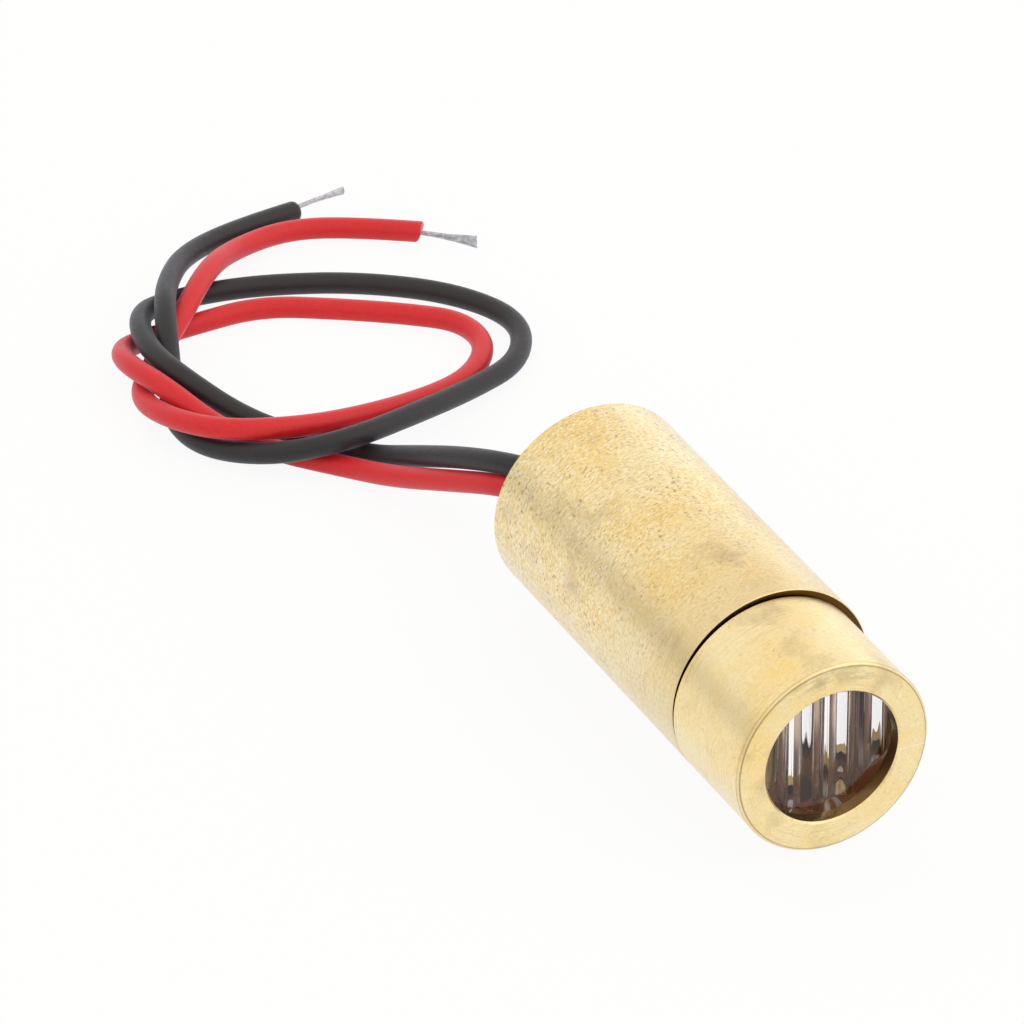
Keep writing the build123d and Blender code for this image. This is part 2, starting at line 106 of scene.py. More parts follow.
# Where each bared strand ends, from the middle of the tail: level across it, then upwards
BLACK_FAN: list[tuple[float, float]] = [
    (0.0, 0.3 * MM), (0.03 * MM, 0.26 * MM), (0.05 * MM, 0.22 * MM), (0.06 * MM, 0.18 * MM),
    (0.06 * MM, 0.14 * MM), (0.05 * MM, 0.1 * MM), (0.03 * MM, 0.06 * MM), (0.0, 0.02 * MM),
]
RED_FAN: list[tuple[float, float]] = [
    (0.0, -0.02 * MM), (0.03 * MM, -0.07 * MM), (0.05 * MM, -0.12 * MM), (0.06 * MM, -0.17 * MM),
    (0.06 * MM, -0.22 * MM), (0.05 * MM, -0.27 * MM), (0.03 * MM, -0.32 * MM), (0.0, -0.38 * MM),
    (0.0, -0.54 * MM),
]


def colour(code: str) -> tuple[float, float, float, float]:
    """Turn an sRGB hex code into the linear colour that shader sockets take.

    Args:
        code: Six hex digits after a hash sign.

    Returns:
        Linear red, green, blue and full opacity.
    """
    parts = (int(code[i:i + 2], 16) / 255 for i in (1, 3, 5))
    linear = [part / 12.92 if part <= 0.04045 else ((part + 0.055) / 1.055) ** 2.4 for part in parts]
    return (*linear, 1.0)


def add(tree: bpy.types.NodeTree, kind: str, inputs: dict[str | int, Input] | None = None,
        **settings: object) -> bpy.types.Node:
    """Add a node with its settings, and set or link its inputs.

    Args:
        tree: The node tree that takes it.
        kind: Blender's name for the node type.
        inputs: A value, or the socket to link from, for each named or numbered input.
        settings: The node's own properties.

    Returns:
        The new node.
    """
    node = tree.nodes.new(kind)
    for name, value in settings.items():
        setattr(node, name, value)
    for name, value in (inputs or {}).items():
        if isinstance(value, Socket):
            tree.links.new(value, node.inputs[name])
        else:
            node.inputs[name].default_value = value
    return node


def new_material(name: str) -> bpy.types.Material:
    """Start a material with an empty node tree.

    Args:
        name: The real finish that it shows.

    Returns:
        The material.
    """
    material = bpy.data.materials.new(name)
    material.use_nodes = True
    material.node_tree.nodes.clear()
    return material


def grains(tree: bpy.types.NodeTree, where: Socket, low: float, high: float,
           detail: float = GRAIN_DETAIL) -> Socket:
    """Give a pattern of grains: 0 where noise is under one level, 1 where it is over another.

    Args:
        tree: The material's node tree.
        where: Places on the surface, in grains.
        low: The level that gives 0.
        high: The level that gives 1.
        detail: Finer octaves in the noise.

    Returns:
        The pattern.
    """
    noise = add(tree, "ShaderNodeTexNoise", {"Vector": where, "Scale": 1.0, "Detail": detail})
    levels = {"Value": noise.outputs["Fac"], "From Min": low, "From Max": high}
    return add(tree, "ShaderNodeMapRange", levels).outputs["Result"]


@dataclass(frozen=True)
class Extent:
    """Where a round CAD solid lies: its rear and front ends along X, its axis, and its radius."""

    rear: float
    front: float
    axis_y: float
    axis_z: float
    radius: float

    @classmethod
    def of(cls, node: str) -> "Extent":
        """Measure a CAD node's box."""
        low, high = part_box(node)
        return cls(low.x, high.x, (low.y + high.y) / 2, (low.z + high.z) / 2, (high.z - low.z) / 2)


@dataclass(frozen=True)
class Tint:
    """A shade that lies over a metal's own colour, and how much of it there is where it is strongest."""

    shade: str
    share: float


@dataclass(frozen=True)
class Grain:
    """A fine pattern on a turned bar: its number, its real size, and the noise levels that give 0 and 1."""

    layer: int
    along_mm: float
    round_mm: float
    low: float
    high: float
    detail: float = GRAIN_DETAIL


@dataclass(frozen=True)
class Patch:
    """A broad round pattern: its number, its real size, and the noise levels that give 0 and 1."""

    layer: int
    size_mm: float
    low: float
    high: float


@dataclass(frozen=True)
class Layer:
    """A tint's spread over a surface, with a second spread that limits it."""

    spread: Input
    limit: Input
    tint: Tint


class Bar:
    """Places on the surface of a turned bar, and the patterns that are laid by them.

    Attributes:
        tree: The material's node tree.
        node: Adds a node to that tree.
        here: The place in the part's frame.
        x: The place along the bar.
        across: The level distance from the bar's axis.
        above: The height over the axis.
        reach: The distance from the axis.
        sheet: The surface rolled out flat, along the bar and then round it.
    """

    def __init__(self, tree: bpy.types.NodeTree, extent: Extent) -> None:
        """Work out the places.

        Args:
            tree: The material's node tree.
            extent: Where the bar lies.
        """
        node = partial(add, tree)
        self.tree = tree
        self.node = node
        self.here = node("ShaderNodeTexCoord").outputs["Object"]
        place = node("ShaderNodeSeparateXYZ", {0: self.here}).outputs
        self.x = place["X"]
        across = node("ShaderNodeMath", {0: place["Y"], 1: extent.axis_y}, operation="SUBTRACT")
        above = node("ShaderNodeMath", {0: place["Z"], 1: extent.axis_z}, operation="SUBTRACT")
        self.across = across.outputs[0]
        self.above = above.outputs[0]
        angle = node("ShaderNodeMath", {0: self.across, 1: self.above}, operation="ARCTAN2").outputs[0]
        turn = node("ShaderNodeMath", {0: angle, 1: extent.radius}, operation="MULTIPLY").outputs[0]
        spoke = node("ShaderNodeCombineXYZ", {"X": self.across, "Y": self.above}).outputs[0]
        self.reach = node("ShaderNodeVectorMath", {0: spoke}, operation="LENGTH").outputs["Value"]
        along = node("ShaderNodeMath", {0: self.reach, 1: FACE_STRETCH, 2: self.x},
                     operation="MULTIPLY_ADD").outputs[0]
        self.sheet = node("ShaderNodeCombineXYZ", {"X": along, "Y": turn}).outputs[0]

    def grain(self, grain: Grain) -> Socket:
        """Lay a fine pattern on the rolled-out surface.

        Args:
            grain: Its number, size and levels.

        Returns:
            The pattern.
        """
        scale = (PER_MM / grain.along_mm, PER_MM / grain.round_mm, 0.0)
        shift = (0.0, 0.0, LAYER_STEP * grain.layer)
        where = self.node("ShaderNodeVectorMath", {0: self.sheet, 1: scale, 2: shift},
                          operation="MULTIPLY_ADD")
        return grains(self.tree, where.outputs["Vector"], grain.low, grain.high, grain.detail)

    def patch(self, patch: Patch) -> Socket:
        """Lay a broad pattern, which runs on over edges without a seam.

        Args:
            patch: Its number, size and levels.

        Returns:
            The pattern.
        """
        scale = (PER_MM / patch.size_mm,) * 3
        shift = (LAYER_STEP * patch.layer,) * 3
        where = self.node("ShaderNodeVectorMath", {0: self.here, 1: scale, 2: shift},
                          operation="MULTIPLY_ADD")
        return grains(self.tree, where.outputs["Vector"], patch.low, patch.high, PATCH_DETAIL)

    def line(self, place: Socket, middle: float, fade: tuple[float, float]) -> Socket:
        """Lay a thin line where a place has one value.

        Args:
            place: The place along the bar, or the distance from its axis.
            middle: The value at the middle of the line.
            fade: The distances from the middle at which the line starts to fade and has gone.

        Returns:
            1 on the line and 0 off it.
        """
        offset = self.node("ShaderNodeMath", {0: place, 1: middle}, operation="SUBTRACT").outputs[0]
        distance = self.node("ShaderNodeMath", {0: offset}, operation="ABSOLUTE").outputs[0]
        levels = {"Value": distance, "From Min": fade[0], "From Max": fade[1], "To Min": 1.0, "To Max": 0.0}
        return self.node("ShaderNodeMapRange", levels).outputs["Result"]


@dataclass(frozen=True)
class Brass:
    """Brass bar, turned on a lathe and then tumbled in grit.

    The eye sees a pale warm metal with soft, blurred reflections: fine grit marks and bright glints drawn out
    a little round the bar, the glints being a painted highlight, small soft pits in groups, faint lathe lines
    in patches, and golden and greyish clouds a few millimetres wide. The film left by the wash whitens it at
    a slant. The bore round the lens is painted dark brown as painted shade and is a little brighter, the
    joint's end face and the edges of the front face are darkened with painted shade, and the front face has a
    grey smudge at its top and one fine scratch.

    Attributes:
        extent: Where the bar lies.
        speckled_at: Place along the bar up to which it has its first amount of speckle.
        smooth_at: Place from which it has its second.
        speckle: The two amounts.
        painted_shade_bore: Radius of the bore that is painted dark brown as painted shade, and the place
            where it ends.
        dark_end: Place of an end face that is darkened with painted shade.
        dark_edges: Radius of the front's inner corner, and place of the ridge behind it, which are darkened
            with painted shade.
        marked_face: Place of the front face, where it has the smudge and the scratch.
        dulled: How much of the stain's shade lies evenly over the bar from smooth_at on.
    """

    name: str
    extent: Extent
    speckled_at: float
    smooth_at: float
    speckle: tuple[float, float]
    painted_shade_bore: tuple[float, float] | None = None
    dark_end: float | None = None
    dark_edges: tuple[float, float] | None = None
    marked_face: float | None = None
    dulled: float = 0.0

    # The metal's own two colours, and the tints that lie over them: real marks, a painted highlight for the
    # glints, and painted shade
    golden: str = "#FADC92"
    soft: str = "#FBE8B2"
    grit: Tint = Tint("#C4A468", 0.46)
    # Painted highlight: near-white glints laid into the colour
    painted_glint: Tint = Tint("#FFF4D6", 0.95)
    stain: Tint = Tint("#C0A87E", 0.55)
    line: Tint = Tint("#BF9E62", 0.35)
    pit: Tint = Tint("#84704C", 0.7)
    # Painted shade: the bore in dark brown, and the dark lines at the joint's end face and the front face's
    # edges
    bore_painted_shade: Tint = Tint("#8C7148", 1.0)
    end_painted_shade: Tint = Tint("#5E4321", 1.0)
    corner_painted_shade: Tint = Tint("#5E4321", 0.6)
    ridge_painted_shade: Tint = Tint("#5E4321", 0.28)
    smudge: Tint = Tint("#A8915F", 0.38)
    scratch: Tint = Tint("#FFF4D6", 0.8)

    # Patterns. Grit marks, painted glints and pits are drawn coarser than real ones, which are too fine to
    # show.
    grit_marks: Grain = Grain(1, 0.08, 0.18, 0.42, 0.66)
    painted_glint_marks: Grain = Grain(2, 0.08, 0.17, 0.55, 0.66)
    pit_marks: Grain = Grain(3, 0.16, 0.22, 0.57, 0.67, 3.0)
    pit_groups: Patch = Patch(4, 1.1, 0.36, 0.62)
    clouds: Patch = Patch(5, 2.8, 0.36, 0.64)
    stains: Patch = Patch(6, 2.1, 0.56, 0.74)
    lathe_lines: Grain = Grain(7, 0.07, 3.0, 0.52, 0.68)
    line_patches: Patch = Patch(8, 3.2, 0.48, 0.62)
    smears: Grain = Grain(9, 0.3, 0.9, 0.42, 0.6, 3.0)

    # Gloss and relief
    roughness: tuple[float, float] = (0.3, 0.42)
    bore_roughness: float = 0.22
    film_roughness: float = 0.4
    relief: float = 0.005 * MM
    relief_strength: float = 0.5

    # Distances from an end face or an edge between which its painted shade or marks come or go
    end_fade: tuple[float, float] = (0.008 * MM, 0.002 * MM)
    corner_fade: tuple[float, float] = (0.01 * MM, 0.045 * MM)
    ridge_fade: tuple[float, float] = (0.01 * MM, 0.04 * MM)
    face_fade: tuple[float, float] = (0.05 * MM, 0.01 * MM)

    # Heights over the axis of the marks on the front face
    smudge_from: float = 3.2 * MM
    smudge_full: float = 3.6 * MM
    scratch_height: float = -0.53 * MM
    scratch_width: float = 0.04 * MM

    def make(self) -> bpy.types.Material:
        """Build the material.

        Returns:
            The finished material.
        """
        material = new_material(self.name)
        bar = Bar(material.node_tree, self.extent)
        node = bar.node
        grit = bar.grain(self.grit_marks)
        rough = node("ShaderNodeMapRange", {"Value": grit, "To Min": self.roughness[0],
                                            "To Max": self.roughness[1]}).outputs["Result"]
        film: Input = 1.0
        layers = self.tumbling(bar, grit)
        if self.dulled:
            ahead = {"Value": bar.x, "From Min": self.speckled_at, "From Max": self.smooth_at}
            onward = node("ShaderNodeMapRange", ahead).outputs["Result"]
            layers.append(Layer(onward, 1.0, Tint(self.stain.shade, self.dulled)))
        # Painted shade: the bore inside the aperture is painted dark brown
        if self.painted_shade_bore:
            bore = self.bore(bar)
            layers.append(Layer(bore, 1.0, self.bore_painted_shade))
            rough = node("ShaderNodeMix", {SHARE: bore, FIRST_NUMBER: rough,
                                           SECOND_NUMBER: self.bore_roughness}).outputs[MIXED_NUMBER]
            film = node("ShaderNodeMath", {0: 1.0, 1: bore}, operation="SUBTRACT").outputs[0]
        # Painted shade: the end face at the joint under the head is painted dark brown
        if self.dark_end is not None:
            end = {"Value": bar.x, "From Min": self.dark_end - self.end_fade[0],
                   "From Max": self.dark_end - self.end_fade[1]}
            end_shade = node("ShaderNodeMapRange", end).outputs["Result"]
            layers.append(Layer(end_shade, 1.0, self.end_painted_shade))
            film = node("ShaderNodeMath", {0: 1.0, 1: end_shade}, operation="SUBTRACT").outputs[0]
        # Painted shade: dark lines at the front face's inner corner and on the ridge behind it
        if self.dark_edges:
            layers += self.edge_painted_shade(bar)
        if self.marked_face is not None:
            layers += self.face_marks(bar)
        bump = node("ShaderNodeBump", {"Height": grit, "Strength": self.relief_strength,
                                       "Distance": self.relief}, invert=True)
        surface = node("ShaderNodeBsdfPrincipled", {
            "Base Color": self.tone(bar, layers), "Metallic": 1.0, "Roughness": rough,
            "Normal": bump.outputs["Normal"], "Coat Weight": film, "Coat Roughness": self.film_roughness})
        node("ShaderNodeOutputMaterial", {"Surface": surface.outputs["BSDF"]})
        return material

    def tone(self, bar: Bar, layers: Sequence[Layer]) -> Socket:
        """Mix the metal's own clouded colour with the tints that lie over it.

        Args:
            bar: The places on the bar.
            layers: The tints, the lowest first.

        Returns:
            The colour.
        """
        node = bar.node
        clouds = {SHARE: bar.patch(self.clouds), FIRST_COLOUR: colour(self.golden),
                  SECOND_COLOUR: colour(self.soft)}
        tone = node("ShaderNodeMix", clouds, data_type="RGBA").outputs[MIXED_COLOUR]
        for layer in layers:
            spread = node("ShaderNodeMath", {0: layer.spread, 1: layer.limit}, operation="MULTIPLY")
            share = node("ShaderNodeMath", {0: spread.outputs[0], 1: layer.tint.share}, operation="MULTIPLY")
            cover = {SHARE: share.outputs[0], FIRST_COLOUR: tone, SECOND_COLOUR: colour(layer.tint.shade)}
            tone = node("ShaderNodeMix", cover, data_type="RGBA").outputs[MIXED_COLOUR]
        return tone

    def tumbling(self, bar: Bar, grit: Socket) -> list[Layer]:
        """Lay the grit marks, painted glint highlights, stains, lathe lines and pits.

        Args:
            bar: The places on the bar.
            grit: The pattern of grit marks.

        Returns:
            Their layers.
        """
        node = bar.node
        change = {"Value": bar.x, "From Min": self.speckled_at, "From Max": self.smooth_at,
                  "To Min": self.speckle[0], "To Max": self.speckle[1]}
        wear_and_glints = node("ShaderNodeMapRange", change).outputs["Result"]
        groups = bar.patch(self.pit_groups)
        worn = node("ShaderNodeMath", {0: groups, 1: wear_and_glints}, operation="MULTIPLY").outputs[0]
        return [
            Layer(grit, wear_and_glints, self.grit),
            # Painted highlight: near-white glints
            Layer(bar.grain(self.painted_glint_marks), wear_and_glints, self.painted_glint),
            Layer(bar.patch(self.stains), 1.0, self.stain),
            Layer(bar.grain(self.lathe_lines), bar.patch(self.line_patches), self.line),
            Layer(bar.grain(self.pit_marks), worn, self.pit),
        ]

    def bore(self, bar: Bar) -> Socket:
        """Find the bore, which is painted dark brown as painted shade.

        Args:
            bar: The places on the bar.

        Returns:
            1 in the bore and 0 outside it.
        """
        node = bar.node
        radius, end = self.painted_shade_bore
        within = node("ShaderNodeMath", {0: bar.reach, 1: radius}, operation="LESS_THAN").outputs[0]
        behind = node("ShaderNodeMath", {0: bar.x, 1: end}, operation="LESS_THAN").outputs[0]
        return node("ShaderNodeMath", {0: within, 1: behind}, operation="MULTIPLY").outputs[0]

    def edge_painted_shade(self, bar: Bar) -> list[Layer]:
        """Lay painted shade: a dark line in the corner round the front face, and a fainter one on the ridge
        behind it.

        Args:
            bar: The places on the bar.

        Returns:
            Their layers.
        """
        corner, ridge = self.dark_edges
        outside = bar.node("ShaderNodeMath", {0: bar.reach, 1: corner}, operation="GREATER_THAN").outputs[0]
        return [
            Layer(bar.line(bar.reach, corner, self.corner_fade), 1.0, self.corner_painted_shade),
            Layer(bar.line(bar.x, ridge, self.ridge_fade), outside, self.ridge_painted_shade),
        ]

    def face_marks(self, bar: Bar) -> list[Layer]:
        """Lay a smudge at the top of the front face, and a scratch on one side of its middle.

        Args:
            bar: The places on the bar.

        Returns:
            Their layers.
        """
        node = bar.node
        front = {"Value": bar.x, "From Min": self.marked_face - self.face_fade[0],
                 "From Max": self.marked_face - self.face_fade[1]}
        facing = node("ShaderNodeMapRange", front).outputs["Result"]
        height = {"Value": bar.above, "From Min": self.smudge_from, "From Max": self.smudge_full}
        top = node("ShaderNodeMapRange", height).outputs["Result"]
        smears = node("ShaderNodeMath", {0: bar.grain(self.smears), 1: facing},
                      operation="MULTIPLY").outputs[0]
        level = node("ShaderNodeMath", {0: bar.above, 1: self.scratch_height, 2: self.scratch_width / 2},
                     operation="COMPARE").outputs[0]
        beside = node("ShaderNodeMath", {0: bar.across, 1: 0.0}, operation="GREATER_THAN").outputs[0]
        scratch = node("ShaderNodeMath", {0: level, 1: beside}, operation="MULTIPLY").outputs[0]
        return [Layer(smears, top, self.smudge), Layer(scratch, facing, self.scratch)]


@dataclass(frozen=True)
class Clear:
    """Clear moulded plastic or polished glass.

    The eye sees what lies behind it, bent, and white light thrown back by its slopes, with faint waves. A
    coat adds a mirror's tint, and a lens that is glued in shows a brown edge.

    Attributes:
        mirror: How much of the light the coat throws back.
        glued_edge: The lens, where its edge is glued in.
        wave_mm: The real size of the waves.
    """

    name: str
    tint: str
    ior: float
    roughness: float = 0.0
    mirror: float = 0.0
    glued_edge: Extent | None = None
    glue: str = "#B26E42"
    glue_depth: float = 0.01 * MM
    wave_mm: float = 1.0
    wave_levels: tuple[float, float] = (0.2, 0.8)
    relief: float = 0.002 * MM
    relief_strength: float = 0.2

    def make(self) -> bpy.types.Material:
        """Build the material.

        Returns:
            The finished material.
        """
        material = new_material(self.name)
        tree = material.node_tree
        node = partial(add, tree)
        scale = (PER_MM / self.wave_mm,) * 3
        here = node("ShaderNodeTexCoord").outputs["Object"]
        where = node("ShaderNodeVectorMath", {0: here, 1: scale}, operation="MULTIPLY").outputs["Vector"]
        waves = grains(tree, where, *self.wave_levels)
        bump = node("ShaderNodeBump", {"Height": waves, "Strength": self.relief_strength,
                                       "Distance": self.relief})
        tone: Input = colour(self.tint)
        see_through: Input = 1.0
        if self.glued_edge:
            lens = self.glued_edge
            flat = node("ShaderNodeVectorMath", {0: here, 1: (0.0, 1.0, 1.0)}, operation="MULTIPLY")
            middle = (0.0, lens.axis_y, lens.axis_z)
            reach = node("ShaderNodeVectorMath", {0: flat.outputs["Vector"], 1: middle},
                         operation="DISTANCE").outputs["Value"]
            see_through = node("ShaderNodeMath", {0: reach, 1: lens.radius - self.glue_depth},
                               operation="LESS_THAN").outputs[0]
            tone = node("ShaderNodeMix", {SHARE: see_through, FIRST_COLOUR: colour(self.glue),
                                          SECOND_COLOUR: tone}, data_type="RGBA").outputs[MIXED_COLOUR]
        surface = node("ShaderNodeBsdfPrincipled", {
            "Base Color": tone, "Roughness": self.roughness, "IOR": self.ior,
            "Transmission Weight": see_through, "Metallic": self.mirror, "Normal": bump.outputs["Normal"]})
        node("ShaderNodeOutputMaterial", {"Surface": surface.outputs["BSDF"]})
        return material


@dataclass(frozen=True)
class Grained:
    """A finish whose colour and gloss drift between two values in grains of a real size, over a fine relief.

    Attributes:
        first: The colour at one end of the drift.
        second: The colour at the other.
        roughness: The roughness at the two ends.
        sheen: How much of a pale bloom the surface shows at a slant.
    """

    name: str
    first: str
    second: str
    metallic: float
    roughness: tuple[float, float]
    grain_mm: float
    relief_mm: float
    sheen: float = 0.0
    sheen_tint: str = "#DDE2FF"
    sheen_roughness: float = 0.4
    drift_levels: tuple[float, float] = (0.3, 0.7)
    relief_strength: float = 0.3

    def make(self) -> bpy.types.Material:
        """Build the material.

        Returns:
            The finished material.
        """
        material = new_material(self.name)
        tree = material.node_tree
        node = partial(add, tree)
        scale = (PER_MM / self.grain_mm,) * 3
        here = node("ShaderNodeTexCoord").outputs["Object"]
        where = node("ShaderNodeVectorMath", {0: here, 1: scale}, operation="MULTIPLY").outputs["Vector"]
        drift = grains(tree, where, *self.drift_levels)
        drifting = {SHARE: drift, FIRST_COLOUR: colour(self.first), SECOND_COLOUR: colour(self.second)}
        tone = node("ShaderNodeMix", drifting, data_type="RGBA").outputs[MIXED_COLOUR]
        rough = node("ShaderNodeMapRange", {"Value": drift, "To Min": self.roughness[0],
                                            "To Max": self.roughness[1]}).outputs["Result"]
        bump = node("ShaderNodeBump", {"Height": drift, "Strength": self.relief_strength,
                                       "Distance": self.relief_mm * MM})
        surface = node("ShaderNodeBsdfPrincipled", {
            "Base Color": tone, "Metallic": self.metallic, "Roughness": rough,
            "Sheen Weight": self.sheen, "Sheen Roughness": self.sheen_roughness,
            "Sheen Tint": colour(self.sheen_tint), "Normal": bump.outputs["Normal"]})
        node("ShaderNodeOutputMaterial", {"Surface": surface.outputs["BSDF"]})
        return material


class End(Enum):
    """How a lead's insulation was cut: the rounding of its rim, and how far its underside is cut back."""

    ROUNDED = (0.26 * MM, 0.0)
    SLANTED = (0.06 * MM, 0.3 * MM)

    @property
    def rounding(self) -> float:
        """Give the rounding of the rim."""
        return self.value[0]

    @property
    def cut_back(self) -> float:
        """Give the length by which the underside is cut back."""
        return self.value[1]


def new_piece(name: str, mesh: bpy.types.Mesh, material: bpy.types.Material, slot: str,
              *nodes: str) -> bpy.types.Object:
    """Put a finished mesh in the scene in place of CAD nodes.

    Args:
        name: The piece's name.
        mesh: Its mesh, already in the part's frame.
        material: Its finish.
        slot: The record's material slot; not used.
        nodes: The CAD nodes that it stands for.

    Returns:
        The new object, riding on the part's body.
    """
    piece = bpy.data.objects.new(name, mesh)
    bpy.context.scene.collection.objects.link(piece)
    mesh.materials.append(material)
    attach(piece, ROOT)
    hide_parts(*nodes)
    LOG.info("%s: %d faces", name, len(mesh.polygons))
    return piece


def finish_mesh(name: str, shape: bmesh.types.BMesh, sharp_degrees: float = 40.0) -> bpy.types.Mesh:
    """Turn a bmesh into a smooth mesh with outward faces, sharp where it bends by more than an angle.

    Args:
        name: The mesh's name.
        shape: The bmesh, which is freed.
        sharp_degrees: The angle.

    Returns:
        The mesh.
    """
    bmesh.ops.recalc_face_normals(shape, faces=shape.faces[:])
    for face in shape.faces:
        face.smooth = True
    mesh = bpy.data.meshes.new(name)
    shape.to_mesh(mesh)
    shape.free()
    mesh.set_sharp_from_angle(angle=math.radians(sharp_degrees))
    return mesh


def spline_points(route: Sequence[Place], steps: int) -> list[Vector]:
    """Follow one smooth NURBS line with a route's points as its control points.

    Args:
        route: The points that the line bends round.
        steps: Points per stretch.

    Returns:
        Points along the line.
    """
    curve = bpy.data.curves.new("route", "CURVE")
    curve.dimensions = "3D"
    curve.resolution_u = steps
    spline = curve.splines.new("NURBS")
    spline.points.add(len(route) - 1)
    for point, place in zip(spline.points, route):
        point.co = (*place, 1.0)
    spline.order_u = 3
    spline.use_endpoint_u = True
    holder = bpy.data.objects.new("route", curve)
    line = bpy.data.meshes.new_from_object(holder)
    points = [vertex.co.copy() for vertex in line.vertices]
    bpy.data.objects.remove(holder)
    bpy.data.meshes.remove(line)
    return points


def tube(shape: bmesh.types.BMesh, points: Sequence[Vector], radii: Sequence[float],
         sides: int) -> list[list[bmesh.types.BMVert]]:
    """Add a closed round tube along points, with a radius at each point.

    Args:
        shape: The mesh that takes the tube.
        points: The middle line.
        radii: The radius at each point.
        sides: Faces round the tube.

    Returns:
        The rings of corners, and last the middle of the far end.
    """
    way = (points[1] - points[0]).normalized()
    side = way.orthogonal().normalized()
    rings = []
    for i, (point, radius) in enumerate(zip(points, radii)):
        ahead = points[min(i + 1, len(points) - 1)]
        behind = points[max(i - 1, 0)]
        onward = (ahead - behind).normalized()
        side = (way.rotation_difference(onward) @ side).normalized()
        way = onward
        ring = []
        for k in range(sides):
            spoke = Matrix.Rotation(2 * math.pi * k / sides, 3, way) @ side
            ring.append(shape.verts.new(point + spoke * radius))
        rings.append(ring)
    for first, second in zip(rings, rings[1:]):
        for k in range(sides):
            shape.faces.new((first[k], first[(k + 1) % sides], second[(k + 1) % sides], second[k]))
    shape.faces.new(reversed(rings[0]))
    cap = shape.faces.new(rings[-1])
    rings.append(bmesh.ops.poke(shape, faces=[cap])["verts"])
    return rings


def lathe(name: str, outline: Sequence[tuple[float, float]], extent: Extent,
          sides: int = 240) -> bpy.types.Mesh:
    """Turn a closed outline about an axis along X.

    Args:
        name: The mesh's name.
        outline: Corners as a place along the axis and a radius, which is 0 on the axis.
        extent: Where the piece lies, for its axis.
        sides: Faces round the axis.

    Returns:
        The turned mesh.
    """
    shape = bmesh.new()
    rings = []
    turns = [2 * math.pi * k / sides for k in range(sides)]
    for x, radius in outline:
        if radius == 0:
            rings.append([shape.verts.new((x, extent.axis_y, extent.axis_z))] * sides)
            continue
        rings.append([
            shape.verts.new((x, extent.axis_y + radius * math.sin(t), extent.axis_z + radius * math.cos(t)))
            for t in turns])
    for first, second in zip(rings, rings[1:] + rings[:1]):
        for k in range(sides):
            corners = dict.fromkeys((first[k], first[(k + 1) % sides], second[(k + 1) % sides], second[k]))
            if len(corners) > 2:
                shape.faces.new(tuple(corners))
    return finish_mesh(name, shape, TURNED_SHARP_DEGREES)


@dataclass
class Barrel:
    """Brass tube with a stepped bore: the head's socket, the diode's seat and the rear bay."""

    wall: float = 0.7 * MM
    socket_wall: float = 0.445 * MM
    socket_depth: float = 3.4 * MM
    edge_break: float = 0.05 * MM
    tunnel_radius: float = 3.0 * MM
    cap_hole_radius: float = 2.25 * MM
    seat_radius: float = 2.8 * MM
    bay_length: float = 8.6 * MM
    seat_length: float = 1.2 * MM
    web_length: float = 0.8 * MM
    speckled_length: float = 9.0 * MM
    speckle: tuple[float, float] = (1.0, 0.45)
    dulled: float = 0.28
    node: str = "barrel"

    def build(self) -> bpy.types.Object:
        """Turn the barrel in place of its CAD solid and dress it.

        Returns:
            The barrel.
        """
        extent = Extent.of(self.node)
        rear, front, outer = extent.rear, extent.front, extent.radius
        broken = outer - self.edge_break
        bay = outer - self.wall
        socket = outer - self.socket_wall
        socket_end = front - self.socket_depth
        bay_end = rear + self.bay_length
        seat_end = bay_end + self.seat_length
        web_end = seat_end + self.web_length
        outline = [
            (rear, bay), (rear, broken), (rear + self.edge_break, outer),
            (front - self.edge_break, outer), (front, broken), (front, socket),
            (socket_end, socket), (socket_end, self.tunnel_radius), (web_end, self.tunnel_radius),
            (web_end, self.cap_hole_radius), (seat_end, self.cap_hole_radius), (seat_end, self.seat_radius),
            (bay_end, self.seat_radius), (bay_end, bay),
        ]
        # The front end face, at the joint under the head, is darkened with painted shade
        finish = Brass("tumbled_brass_barrel", extent, rear + self.speckled_length, front, self.speckle,
                       dark_end=front, dulled=self.dulled)
        mesh = lathe("brass_barrel", outline, extent)
        return new_piece("brass_barrel", mesh, finish.make(), "brass", self.node)


@dataclass
class Head:
    """Brass end piece with a spigot, a bore for the optics and a lip round the aperture."""

    spigot_length: float = 3.2 * MM
    spigot_radius: float = 3.9 * MM
    bore_radius: float = 3.4 * MM
    aperture_radius: float = 3.0 * MM
    aperture_chamfer: float = 0.08 * MM
    face_chamfer: float = 0.12 * MM
    edge_break: float = 0.05 * MM
    lip: float = 0.65 * MM
    speckle: tuple[float, float] = (0.32, 0.32)
    node: str = "head"

    def build(self) -> bpy.types.Object:
        """Turn the head in place of its CAD solid and dress it.

        Returns:
            The head.
        """
        extent = Extent.of(self.node)
        rear, front, outer = extent.rear, extent.front, extent.radius
        shoulder = rear + self.spigot_length
        outline = [
            (rear, self.bore_radius), (rear, self.spigot_radius), (shoulder, self.spigot_radius),
            (shoulder, outer - self.edge_break), (shoulder + self.edge_break, outer),
            (front - self.face_chamfer, outer), (front, outer - self.face_chamfer),
            (front, self.aperture_radius + self.aperture_chamfer),
            (front - self.aperture_chamfer, self.aperture_radius),
            (front - self.lip, self.aperture_radius), (front - self.lip, self.bore_radius),
        ]
        # Painted shade: the bore is painted dark brown, and the front face's inner corner and the ridge
        # behind it get dark lines
        finish = Brass("tumbled_brass_head", extent, shoulder, front, self.speckle,
                       painted_shade_bore=(self.bore_radius + self.edge_break, front - self.aperture_chamfer),
                       dark_edges=(outer - self.face_chamfer, front - self.face_chamfer), marked_face=front)
        mesh = lathe("brass_head", outline, extent)
        return new_piece("brass_head", mesh, finish.make(), "brass", self.node)


